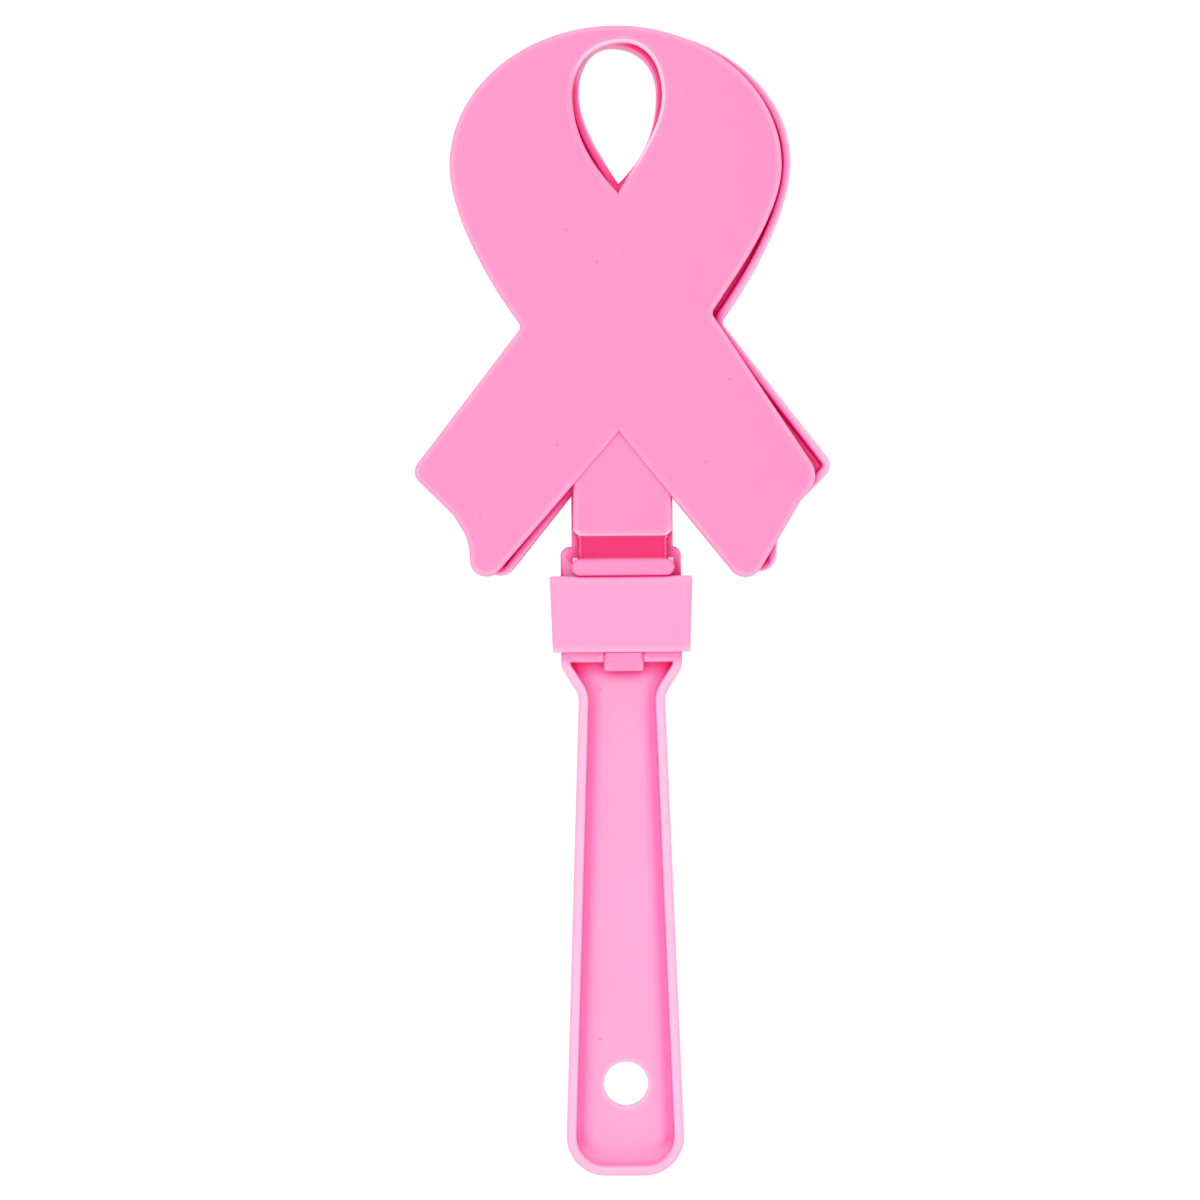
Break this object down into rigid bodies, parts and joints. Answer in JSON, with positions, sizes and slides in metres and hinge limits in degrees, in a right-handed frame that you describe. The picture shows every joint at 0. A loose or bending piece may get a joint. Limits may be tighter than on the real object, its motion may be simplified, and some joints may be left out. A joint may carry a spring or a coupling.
{
  "type": "hand clapper",
  "caption": "Party hand clapper: a crossed-ribbon plate on a trough handle, between hinged ribbon clappers that slap it front and back, held by a slide-on collar.",
  "frame": {"origin": "centre of the collar's flat back face, where the object lies on a table", "axes": "+X across the handle, +Y along the handle from the grip towards the ribbon, +Z out of the front"},
  "size_m": [0.0689, 0.191, 0.0126],
  "materials": {
    "handle_pink": "satin moulded, solid pink",
    "collar_pink": "satin moulded, solid pink",
    "clapper_pink": "satin moulded, solid pink with a few dark specks",
    "web_pink": "thin flexed film of the same plastic, deep pink where light is trapped"
  },
  "bodies": {
    "handle": {"handle": "handle_pink", "collar": "collar_pink", "front_anchor": "clapper_pink", "rear_anchor": "clapper_pink", "front_hinge_web": "web_pink", "rear_hinge_web": "web_pink"},
    "front_clapper": {"front_clapper": "clapper_pink"},
    "rear_clapper": {"rear_clapper": "clapper_pink"}
  },
  "joints": [
    {"name": "front_clapper_swing", "type": "hinge", "parent": "handle", "child": "front_clapper", "pos_m": [0, 0.0059, 0.0084], "axis": [1, 0, 0], "range_deg": [0, 45], "deforming": ["front_hinge_web"]},
    {"name": "rear_clapper_swing", "type": "hinge", "parent": "handle", "child": "rear_clapper", "pos_m": [0, 0.0065, 0.0036], "axis": [-1, 0, 0], "range_deg": [0, 45], "deforming": ["rear_hinge_web"]}
  ]
}
